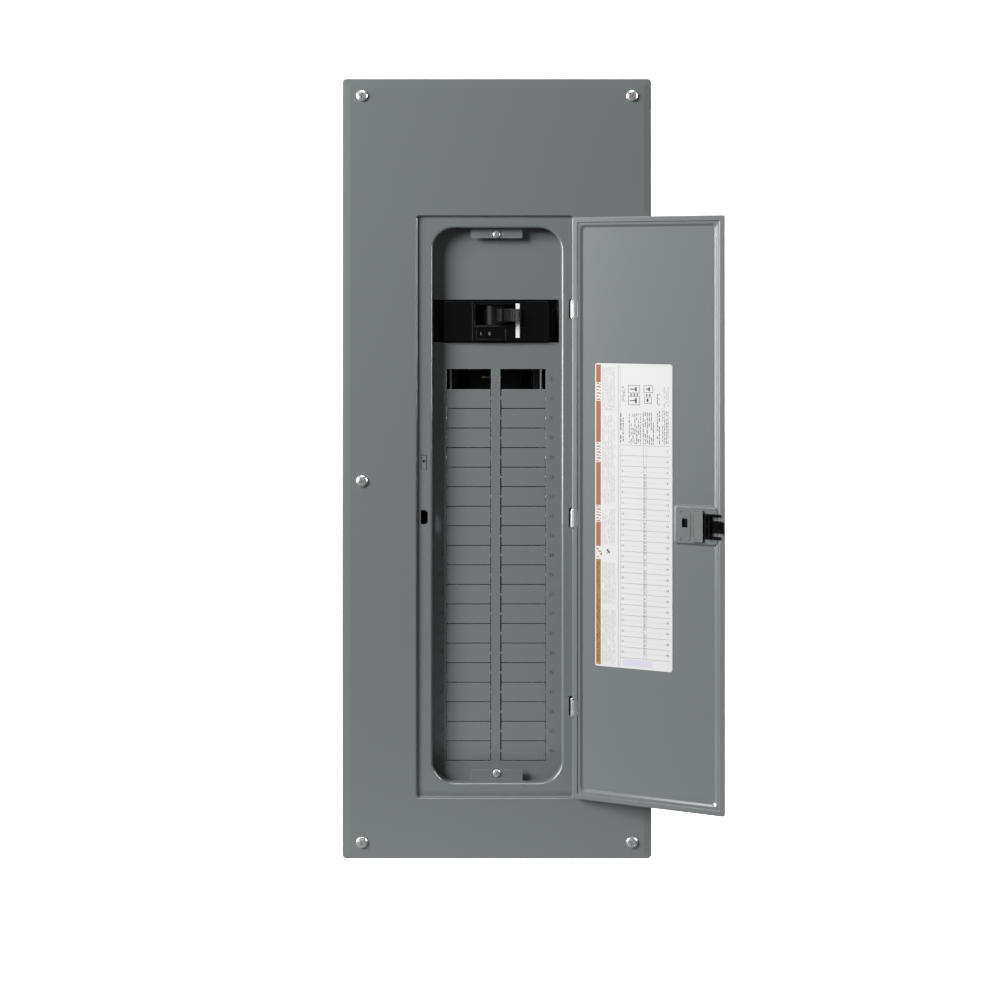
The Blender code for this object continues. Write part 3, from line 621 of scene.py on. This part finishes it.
def make_door():
    """The door: a raised panel in a hemmed rim with rounded steps, and a pocket for the latch."""
    rear = drawn("door_panel", SWING)[1].y
    rim_front, rim_rear = DOOR_FRONT + 3.0, -92.85
    panel_rear = DOOR_FRONT + THIN
    rim_width = 8.5
    outside = soften([(-30.0, DOOR_FRONT), (-rim_width - 2.6, DOOR_FRONT), (-rim_width, rim_front),
                      (0.0, rim_front), (0.0, rim_rear), (-6.5, rim_rear), (-6.9, rim_rear - 1.5),
                      (-10.0, rim_rear - 1.8), (-12.9, panel_rear), (-30.0, panel_rear)],
                     (2.4, 1.2, 1.3, 1.3, 0.7, 0.5, 1.8, 2.2), 15)
    sections = []
    x0, x1, z0, z1 = DOOR
    for grow, y in outside:
        radius = max(3.0 + grow, 1.0) if grow > -rim_width - 0.2 else 5.0
        sections.append([(x, y, z) for x, z in
                         rounded((x0 - grow, x1 + grow, z0 - grow, z1 + grow), radius, 8)])
    x0, x1, z0, z1 = POCKET
    near, far = DOOR_FRONT - 5, rear + 5
    pocket_rear = POCKET_FLOOR + THIN
    slopes = [(2.6, DOOR_FRONT + 0.5), (2.6, panel_rear + 0.1), (0.4, pocket_rear - 0.7), (-0.9, pocket_rear)]
    pocket = skin(rings(POCKET, 3.5, slopes, 6))
    recess = prism(rounded((x0 + THIN, x1 - THIN, z0 + THIN, z1 - THIN), 2.3, 6), "Y", near, POCKET_FLOOR)
    key_slot = prism(rounded((-53.3, -46.3, LATCH_Z - 3.0, LATCH_Z + 8.3), 0.8, 3), "Y", near, far)
    window = prism(rounded((-80.0, -64.0, LATCH_Z - 12.5, LATCH_Z + 12.5), 0.8, 3), "Y", near, far)
    notches = [block(93.0, 99.0, near, far, z - 12.5, z + 12.5) for z in HINGE_HEIGHTS.values()]
    piece("door_sheet", "grey_paint", "door", skin(sections), join=[pocket],
          cut=[recess, key_slot, window, *notches], bevel=0.4, stands_for="door_panel", place=SWING)
    studs = [rod("Y", x, z, 1.6, POCKET_FLOOR + THIN - 0.2, POCKET_FLOOR + THIN + 0.7, 20)
             for x, z in ((-44.0, LATCH_Z - 17.0), (-55.0, LATCH_Z - 17.0), (-44.0, LATCH_Z + 17.0))]
    piece("pocket_rivets", "grey_paint", "door", gather(studs), bevel=0.25, place=SWING)


def make_label():
    """The directory label: paper with a warning strip, blocks of plain strokes and a numbered table."""
    low, high = drawn("directory_label", SWING)
    tall = high.z - low.z
    body = rings(flat("directory_label", SWING), 3.0, [(0.0, low.y), (0.0, high.y)], 6)
    piece("label_sheet", "label_paper", "door", skin(body), stands_for="directory_label", place=SWING)
    base, ink = high.y - 0.02, high.y + 0.05
    draw = Random(11)

    def printed(name, look, marks, extra=()):
        """Printed marks, given as (u0, u1, v0, v1) from the label's upper left corner as it is read."""
        shapes = [block(high.x - u1, high.x - u0, base, ink, high.z - v1, high.z - v0)
                  for u0, u1, v0, v1 in marks]
        piece(name, look, "door", gather(shapes + list(extra)), place=SWING)

    strip = (1.4, 7.4)
    cautions = ((24.0, 48.0), (100.0, 126.0), (180.0, 202.0))
    ends = [1.8] + [v for pair in cautions for v in pair] + [232.0]
    red = [(*strip, a, b) for a, b in zip(ends[::2], ends[1::2])]
    for v0, v1 in cautions:
        count = int((v1 - v0) / 3.6)
        for i in range(count):
            v = v0 + (i + 0.3) * (v1 - v0) / count
            cut_in = 1.2 if i % 2 else 2.6
            red += [(strip[0] + 0.6, strip[1] - cut_in, v, v + 1.5),
                    (strip[1] - 1.5, strip[1], v + 1.1, v + 2.1)]
    red += [(2.0, 4.4, 235, 237), (4.0, 8.0, 238, 239.6), (6.8, 9.2, 241, 243.5), (2.4, 5.0, 245, 246.4)]
    printed("label_print_red", "ink_red", red)
    printed("label_print_ochre", "ink_ochre", [(*strip, 249.0, tall - 2.2)])

    def strokes(u0, u1, v0, v1, pitch, thick, shortest, longest, gap, skip=0.0):
        """Rows of plain strokes that run down the label, as text turned on its side would."""
        marks = []
        u = u0
        while u + thick <= u1:
            v = v0 + draw.uniform(0, gap)
            while v < v1 - shortest:
                length = min(draw.uniform(shortest, longest), v1 - v)
                if draw.random() >= skip:
                    marks.append((u, u + thick, v, v + length))
                v += length + gap * draw.uniform(0.6, 1.4)
            u += pitch
        return marks

    dark = strokes(2.6, 6.4, 252, tall - 5, 2.0, 0.9, 1.5, 4.5, 1.6, 0.25)
    for area in ((33, 39, 62, 101, 3.0, 1.0, 1.5, 5.0, 1.2, 0.1), (44, 60, 62, 101, 2.4, 0.8, 1.2, 5.0, 1.4, 0.15),
                 (62, 78, 60, 101, 2.6, 0.8, 1.2, 6.0, 1.2, 0.1), (80, 84, 58, 100, 2.6, 0.9, 1.5, 5.0, 1.2, 0.2),
                 (87, 95, 58, 101, 2.2, 0.7, 1.0, 4.0, 1.1, 0.15), (35, 39, 28, 48, 1.6, 0.5, 1.0, 4.0, 1.0, 0.2),
                 (80, 84, 34, 54, 2.2, 0.9, 1.0, 3.0, 1.0, 0.2), (89, 96, 28, 54, 2.4, 0.5, 1, 3, 1.2, 0.35)):
        dark += strokes(*area)
    frames = ((43, 58, 27, 37), (43, 58, 41, 52), (63, 75, 27, 36), (64, 73, 41, 50))
    for u0, u1, v0, v1 in frames:
        line = 0.5
        dark += [(u0, u1, v0, v0 + line), (u0, u1, v1 - line, v1),
                 (u0, u0 + line, v0, v1), (u1 - line, u1, v0, v1),
                 (u0 + 2.5, u1 - 4, (v0 + v1) / 2 - 0.6, (v0 + v1) / 2 + 0.6),
                 (u1 - 6, u1 - 4, v0 + 2.2, v1 - 2.2)]
    dark += [(u0 + 1, u0 + 2.6, 37.6, 40.4) for u0 in (45, 49, 53, 65, 69)]
    dark += [(15.5, 17.5, 235.5, 238.5), (17.2, 19.4, 238.0, 240.5), (15.0, 16.2, 240.0, 241.2)]

    left, right, top, rows = 30.0, 96.5, 104.0, 19
    first, last = 115.7, 371.0
    pitch = (last - first) / rows
    table = [(left, left + 0.45, 1.5, tall - 2), (left + 2.6, left + 2.9, 1.5, tall - 2),
             (62.4, 62.8, top, last), (65.9, 66.3, top, last), (left + 2.9, right, 102.6, 103.0)]
    pale = []
    for row in range(rows + 1):
        v = first + row * pitch
        table.append((left + 2.9, right, v, v + 0.5))
        if row < rows:
            pale += [(u, u + 1.8, v + pitch / 2, v + pitch / 2 + 0.45)
                     for u in range(38, 92, 3) if not 60 < u < 67]
    spine = strokes(64.0, 64.9, 128, 366, 3.0, 0.75, 1.5, 4.0, 1.4, 0.15)
    numbers = []
    for row in range(rows + 1):
        v = first + (row - 0.5) * pitch
        for u, number in ((35.8, 2 * row + 1), (93.4, 2 * row + 2)):
            at = (high.x - u, (base + ink) / 2, high.z - v)
            numbers.append(lettering(str(number), 3.8, at, ink - base, -1))
    printed("label_print_black", "ink_black", dark + spine, numbers)
    printed("label_print_lines", "ink_grey", table)
    faint = []
    for area in ((9.5, 26, 4, 60, 1.7, 0.6, 2, 8, 1.2, 0.1), (9.5, 26, 66, 178, 1.9, 0.6, 2, 9, 1.3, 0.12),
                 (9.5, 26, 184, 230, 1.9, 0.6, 2, 8, 1.3, 0.15), (9.5, 27, 252, 306, 1.8, 0.6, 2, 8, 1.2, 0.1),
                 (9.5, 27, 312, tall - 4, 1.8, 0.6, 2, 8, 1.2, 0.1)):
        faint += strokes(*area)
    printed("label_print_faint", "ink_pale", pale + faint)
    printed("label_print_lilac", "ink_lilac", [(36.0, 74.0, 373.0, 381.0)])


def make_hinges():
    """Three butt hinges: rolled knuckles, their leaves, and domed pins."""
    x, y = HINGE[0], HINGE[1]
    radius, half, knuckle = 2.3, 10.5, 3.7
    inner = radius - 1.4

    def bore():
        return rod("Z", x, y, 1.35, z - 20, z + 20, 24)

    for name, z in HINGE_HEIGHTS.items():
        low, high = drawn(f"hinge_leaf_cover_{name}")
        foot = prism(rounded((x + inner, high.x, z - half, z + half), 1.0, 4), "Y", high.y - 1.2, high.y)
        ends = ((z + knuckle + 0.3, z + half), (z - half, z - knuckle - 0.3))
        joined = [block(x + inner, x + radius, y, high.y - 0.4, *end) for end in ends]
        joined += [rod("Z", x, y, radius, *end) for end in ends]
        piece(f"cover_leaf_{name}", "bright_zinc", "enclosure", foot, join=joined, cut=[bore()], bevel=0.15,
              stands_for=f"hinge_leaf_cover_{name}")
        low, high = drawn(f"hinge_leaf_door_{name}", SWING)
        plate = block(low.x, x - inner, high.y - 0.8, high.y, low.z, high.z)
        arm = block(x - radius, x - inner, y, high.y - 0.2, z - knuckle, z + knuckle)
        barrel = rod("Z", x, y, radius, z - knuckle, z + knuckle)
        piece(f"door_leaf_{name}", "bright_zinc", "door", plate, join=[arm, barrel], cut=[bore()], bevel=0.12,
              stands_for=f"hinge_leaf_door_{name}", place=SWING)
        end = half + 0.3
        dome = [(1.9 * cos(radians(a)), 1.1 * sin(radians(a))) for a in (0, 25, 50, 72)]
        profile = ([(r, z - end - 0.4 - h) for r, h in dome[::-1]] + [(1.9, z - end), (1.05, z - end)]
                   + [(1.05, z + end), (1.9, z + end)] + [(r, z + end + 0.4 + h) for r, h in dome])
        piece(f"pin_{name}", "bright_zinc", "enclosure", turned("Z", x, y, profile, 24),
              stands_for=f"hinge_pin_{name}")


def make_latch():
    """The slide latch: hook and grip, grey keeper, front bezel and return spring."""
    z = LATCH_Z
    front, plate_rear = -92.5, -90.7
    plate = prism(rounded((-84.0, -57.7, z - 15.5, z + 15.5), 1.2, 4), "Y", front, plate_rear)
    tongue = block(-96.0, -83.0, front, plate_rear, z - 7.3, z + 7.3)
    prongs = [prism(rounded((-95.0, -82.0, *span), 1.2, 4), "Y", front, plate_rear)
              for span in ((z + 12.0, z + 15.5), (z - 15.5, z - 12.0))]
    hook = prism([(-95.2, front + 0.5), (-95.2, -88.4), (-99.3, -88.4), (-99.3, -88.0), (-95.8, -86.4),
                  (-92.6, -86.4), (-92.6, front + 0.5)], "Z", z - 6.5, z + 6.5)
    pad = block(-78.5, -69.5, -97.6, front + 0.5, z - 11.5, z + 11.5)
    ridge = block(-82.5, -76.5, plate_rear - 0.5, -87.0, z - 14.5, z + 14.5)
    cut = [block(-69.0, -59.7, -96, -85, z - 3.5, z + 3.5), block(-81.2, -77.8, -89.6, -85, z - 12.8, z - 1.0),
           block(-81.2, -77.8, -89.6, -85, z + 1.0, z + 12.8),
           block(-94.6, -93.2, -88.0, -85, z - 4.5, z + 4.5), block(-90.8, -85.2, -96, -91.9, z - 4.5, z + 4.5)]
    cut += [block(-77.6 + 2.2 * i, -76.6 + 2.2 * i, -99, -97.1, z - 10.5, z + 10.5) for i in range(4)]
    piece("latch_body", "glossy_black_plastic", "latch", plate, join=[tongue, *prongs, hook, pad, ridge],
          cut=cut, bevel=0.3, stands_for="latch_slide", place=SWING)

    high = drawn("latch_housing", SWING)[1]
    bridge = prism(rounded((-73.0, -58.5, z - 19.7, z + 19.7), 2.0, 4), "Y", plate_rear + 0.3, high.y)
    feet = [block(-72.4, -59.1, POCKET_FLOOR + THIN + 0.05, plate_rear + 0.6, *span)
            for span in ((z - 19.2, z - 16.2), (z + 16.2, z + 19.2))]
    peg = block(-61.5, -60.3, front + 0.2, plate_rear + 0.6, z - 2.5, z + 2.5)
    dents = [prism(rounded((-70.5, -61.0, *span), 1.0, 3), "Y", high.y - 0.5, high.y + 2)
             for span in ((z - 13.5, z - 2.0), (z + 2.0, z + 13.5))]
    ends = [block(-71.0, -62.0, high.y - 0.7, high.y + 2, *span)
            for span in ((z - 18.6, z - 16.6), (z + 16.6, z + 18.6))]
    piece("latch_keeper", "grey_plastic", "door", bridge, join=[*feet, peg], cut=[*dents, *ends], bevel=0.3,
          stands_for="latch_housing", place=SWING)

    x0, x1, z0, z1 = flat("latch_bezel", SWING)
    low, high = drawn("latch_bezel", SWING)
    plate = prism(rounded((x0, x1, z0, z1), 2.0, 5), "Y", low.y, low.y + 1.4)
    legs = [block(x0 + 2, x1 - 2, low.y + 0.5, high.y, *span) for span in ((z0, z0 + 1.5), (z1 - 1.5, z1))]
    window = block(-80.0, -64.0, low.y - 5, low.y + 5, z - 12.5, z + 12.5)
    lock = rod("Y", -50.0, z + 2.6, 6.4, low.y - 5, low.y + 0.5, 32)
    frame_line = [block(-81.6, -62.4, low.y - 5, low.y + 0.35, z - 14.1, z + 14.1)]
    piece("bezel", "black_plastic", "door", plate, join=legs, cut=[*frame_line, window, lock], bevel=0.2,
          stands_for="latch_bezel", place=SWING)

    turns, steps, coil, wire, sides = 6, 20, 0.75, 0.22, 8
    start, end, axis_y = -68.4, -61.9, -91.75
    sections = []
    for i in range(turns * steps + 1):
        turn = 2 * pi * i / steps
        along = start + (end - start) * i / (turns * steps)
        around = [2 * pi * k / sides for k in range(sides)]
        sections.append([(along + wire * sin(b), axis_y + (coil + wire * cos(b)) * cos(turn),
                          z + (coil + wire * cos(b)) * sin(turn)) for b in around])
    piece("return_spring", "plain_steel", "door", skin(sections), stands_for="latch_spring", place=SWING)


# ---------------------------------------------------------------- main breaker and interior

def make_main_breaker():
    """The main breaker's glossy front, its toggle and the white on-off strip."""
    low, high = drawn("main_breaker_front")
    z = HANDLE[2]
    face, wing = low.y, low.y + 1.2
    front = prism(rounded((low.x, high.x, low.z, high.z), 1.2, 4), "Y", face, high.y)
    slot = prism(rounded((-27.0, 24.5, z - 13.25, z + 13.25), 0.8, 3), "Y", face - 5, high.y + 5)
    lowered = [block(*span, face - 5, wing, z - 40, z + 25) for span in ((-70.0, -31.0), (31.5, 70.0))]
    step = block(-28.6, 26.1, face - 5, face + 0.5, z - 14.8, z + 14.8)
    panel = block(-26.0, 12.0, face - 5, face + 0.35, z - 31.5, z - 18.0)
    piece("breaker_face", "glossy_black_plastic", "enclosure", front, cut=[*lowered, step, slot, panel],
          bevel=0.35, stands_for="main_breaker_front")
    marks = [lettering(digit, 6.0, (at, face + 0.35, z - 24.5), 0.5) for digit, at in (("1", -20.0), ("0", -9.0))]
    piece("breaker_marks", "ink_grey", "enclosure", gather(marks))

    low, high = drawn("handle_indicator_strip")
    strip = prism(rounded((low.x, high.x, low.z, high.z), 0.5, 3), "Y", low.y, high.y)
    piece("on_off_strip", "white_plastic", "enclosure", strip, stands_for="handle_indicator_strip")

    x, y = HANDLE[0], HANDLE[1]
    low, high = drawn("main_breaker_handle", TOGGLE)
    drum = rod("Z", x, y, 18.5, z - 12.75, z + 12.25, 64)
    neck = block(x - 6, x + 6, y - 38, y - 12, z - 8.25, z + 8.25)
    arc = [(x + 43.4 * sin(radians(a)), y - 43.4 * cos(radians(a))) for a in range(-16, 22, 3)]
    head = prism([(x - 12.5, y - 37.0)] + arc + [(x + 15.6, y - 37.0)], "Z", z - 7.9, z + 7.9)
    grooves = [rod("Z", x + 43.6 * sin(radians(a)), y - 43.6 * cos(radians(a)), 1.2, z - 20, z + 20, 16)
               for a in (-9, -4.5, 0, 4.5, 9)]
    bore = rod("Z", x, y, 2.2, z - 20, z + 20, 24)
    piece("toggle", "black_plastic", "main_handle", drum, join=[neck, head], cut=[bore, *grooves], bevel=0.4,
          stands_for="main_breaker_handle", place=TOGGLE)


def slotted_screws(places, seat, radius, height):
    """Binding screws that stand out of a bar towards -Y, each with its own slot direction."""
    draw = Random(5)
    shapes = []
    for x, z in places:
        profile = [(radius, seat), (radius, seat - height + 0.4), (radius - 0.4, seat - height)]
        shapes.append(turned("Y", x, z, profile, 20))
        angle = draw.uniform(0, pi)
        bar = block(-radius * 0.8, radius * 0.8, seat - height - 0.25, seat - height + 0.02, -0.35, 0.35)
        bar.transform(Matrix.Translation((x, 0, z)) @ Matrix.Rotation(angle, 4, "Y"))
        shapes.append(bar)
    return gather(shapes)


def make_terminals():
    """Wire screws along the neutral and ground bars."""
    for node, count in (("neutral_bar_left", 24), ("neutral_bar_right", 24), ("ground_bar", 16)):
        low, high = drawn(node)
        x, step = (low.x + high.x) / 2, (high.z - low.z) / (count + 0.5)
        places = [(x, low.z + (i + 0.75) * step) for i in range(count)]
        piece(f"{node}_screws", "bright_zinc", "enclosure", slotted_screws(places, low.y - 0.05, 2.6, 1.6))


def dress_cad_nodes():
    """CAD pieces that nothing stands for get their finish and finely rounded edges."""
    for node, item in frame["nodes"].items():
        if item.hide_render:
            continue
        for slot in item.material_slots:
            slot.material = LOOKS[SLOTS[node]]
        weld = item.modifiers.new("weld", "WELD")
        weld.merge_threshold = 0.01 * MM
        rounding = item.modifiers.new("bevel", "BEVEL")
        rounding.width = 0.3 * MM
        rounding.segments = 2
        rounding.limit_method = "ANGLE"
        rounding.angle_limit = radians(35)


# ---------------------------------------------------------------- camera, light and stage

EYE = Vector((-0.073, FRONT * MM - 2.0, 0.243))
FIELD = 1.281                                   # width seen on the plane of the cover's front
AIM = (0.0039, -0.0398)                         # x and z of the picture's middle on that plane
SENSOR = 36.0
AMBIENT = 0.033                                 # what the room adds everywhere; the camera sees it white


def make_camera():
    data = bpy.data.cameras.new("camera")
    data.sensor_width = SENSOR
    data.lens = SENSOR * (FRONT * MM - EYE.y) / FIELD
    data.shift_x = (AIM[0] - EYE.x) / FIELD
    data.shift_y = (AIM[1] - EYE.z) / FIELD
    camera = bpy.data.objects.new("camera", data)
    camera.location = EYE
    camera.rotation_euler = (radians(90), 0, 0)
    bpy.context.scene.collection.objects.link(camera)
    bpy.context.scene.camera = camera


def softbox(name, location, target, size, power, diffuse=True, glossy=True):
    data = bpy.data.lights.new(name, "AREA")
    data.shape = "RECTANGLE"
    data.size, data.size_y = size
    data.energy = power
    lamp = bpy.data.objects.new(name, data)
    lamp.visible_camera = False
    lamp.visible_diffuse = diffuse
    lamp.visible_glossy = glossy
    lamp.location = location
    lamp.rotation_euler = (Vector(target) - Vector(location)).to_track_quat("-Z", "Y").to_euler()
    bpy.context.scene.collection.objects.link(lamp)


def make_stage():
    """A pale sweep: a floor that curves up into a wall well behind the panel."""
    floor, back, radius = -0.85, 3.6, 1.2
    points = [(-7.0, floor), (back - radius, floor)]
    points += [(back - radius + radius * sin(radians(a)), floor + radius - radius * cos(radians(a)))
               for a in range(10, 91, 10)]
    points.append((back, 5.5))
    form = bmesh.new()
    rows = [[form.verts.new((x, y, z)) for y, z in points] for x in (-8.0, 8.0)]
    for i in range(len(points) - 1):
        form.faces.new((rows[0][i], rows[1][i], rows[1][i + 1], rows[0][i + 1]))
    mesh = bpy.data.meshes.new("sweep")
    form.to_mesh(mesh)
    form.free()
    mesh.shade_smooth()
    sweep = bpy.data.objects.new("sweep", mesh)
    bpy.context.scene.collection.objects.link(sweep)
    material = bpy.data.materials.new("sweep_white")
    material.use_nodes = True
    shader = material.node_tree.nodes["Principled BSDF"]
    shader.inputs["Base Color"].default_value = (0.9, 0.9, 0.9, 1)
    shader.inputs["Roughness"].default_value = 0.9
    shader.inputs["Emission Color"].default_value = (1, 1, 1, 1)
    shader.inputs["Emission Strength"].default_value = 0.95
    mesh.materials.append(material)
    sweep.visible_diffuse = False
    sweep.visible_glossy = False


def make_light():
    scene = bpy.context.scene
    scene.view_settings.view_transform = "Standard"
    world = bpy.data.worlds.new("studio")
    world.use_nodes = True
    nodes, links = world.node_tree.nodes, world.node_tree.links
    background = nodes["Background"]
    background.inputs["Color"].default_value = (1, 1, 1, 1)
    path = nodes.new("ShaderNodeLightPath")
    strength = nodes.new("ShaderNodeMapRange")
    strength.inputs["To Min"].default_value, strength.inputs["To Max"].default_value = AMBIENT, 1.0
    links.new(path.outputs["Is Camera Ray"], strength.inputs["Value"])
    links.new(strength.outputs["Result"], background.inputs["Strength"])
    scene.world = world
    front = FRONT * MM
    softbox("key", (-2.35, front - 1.85, 1.3), (0, front, 0.05), (1.7, 1.4), 184, glossy=False)
    softbox("fill_right", (2.0, front - 1.6, 0.3), (0, front, 0), (1.0, 1.6), 6, glossy=False)
    softbox("floor_bounce", (-0.05, front - 0.26, -0.80), (-0.05, front, -0.5), (0.8, 0.15), 1.5, glossy=False)
    softbox("shine_left", (-2.0, front - 0.5, 0.45), (0, front, 0), (1.0, 1.8), 76, diffuse=False)
    softbox("shine_right", (2.0, front - 0.6, 0.6), (0, front, 0), (0.8, 1.5), 60, diffuse=False)
    softbox("shine_above", (0, front - 0.9, 2.1), (0, front, 0), (1.6, 0.8), 30, diffuse=False)
    softbox("shine_door", (-1.7, front - 1.5, 0.5), (0.1, front, 0), (1.0, 1.7), 15, diffuse=False)
    softbox("side_left", (-2.3, 0.9, 0.6), (0, 0, 0), (1.2, 1.6), 40)
    softbox("side_right", (2.4, 0.9, 0.4), (0, 0, 0), (1.2, 1.6), 45)
    softbox("back", (0.5, 2.5, 1.0), (0, 0, 0), (2.0, 1.6), 55)


# ---------------------------------------------------------------- the whole

make_camera()
make_light()
make_stage()
make_box()
make_cover()
make_deadfront()
make_brackets()
for number, turn in enumerate((12, 40, 71, 8, 55, 27), 1):
    make_screw(f"pan_head_{number}", "bright_zinc", f"cover_screw_{number}", turn)
for name, turn in (("top", 20), ("bottom", 62)):
    make_screw(f"bracket_screw_{name}", "bright_zinc", f"deadfront_screw_{name}", turn)
make_door()
make_label()
make_hinges()
make_latch()
make_main_breaker()
make_terminals()
dress_cad_nodes()
